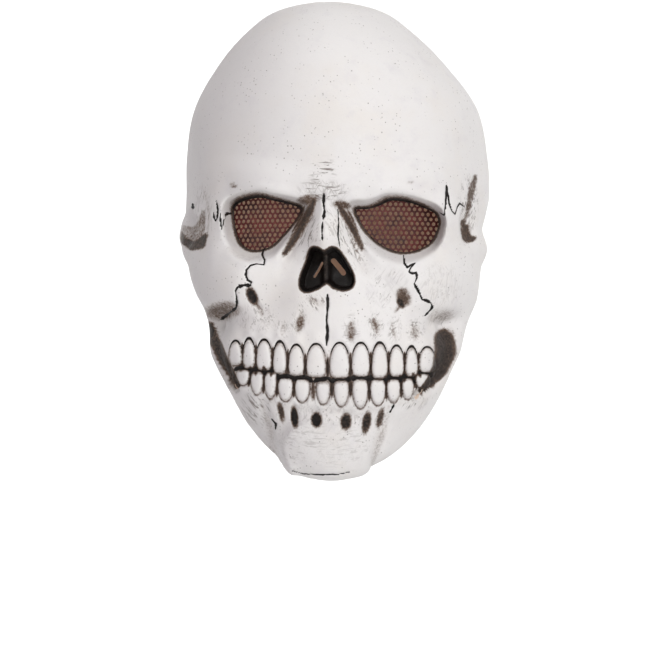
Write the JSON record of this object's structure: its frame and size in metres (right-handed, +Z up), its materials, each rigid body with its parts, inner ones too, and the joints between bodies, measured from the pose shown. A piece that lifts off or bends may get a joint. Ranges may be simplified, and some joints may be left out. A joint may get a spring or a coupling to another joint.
{
  "type": "skull mask",
  "caption": "Over-the-head latex skull mask in aged bone white, with moulded teeth, cracks and dark net screens behind the eye openings.",
  "frame": {"origin": "on the inner side of the crown, where the top of the wearer's head meets the mask", "axes": "+X to the right as seen from in front, -Y the way the face looks, +Z up"},
  "size_m": [0.1799, 0.2165, 0.2751],
  "materials": {
    "bone_latex": "matte off-white paint on latex, with a brown wash in the hollows and black hairline cracks",
    "dark_net": "matte dark brown-red perforated net"
  },
  "bodies": {
    "root": {"skull_shell": "bone_latex", "left_eye_screen": "dark_net", "right_eye_screen": "dark_net"}
  },
  "joints": []
}
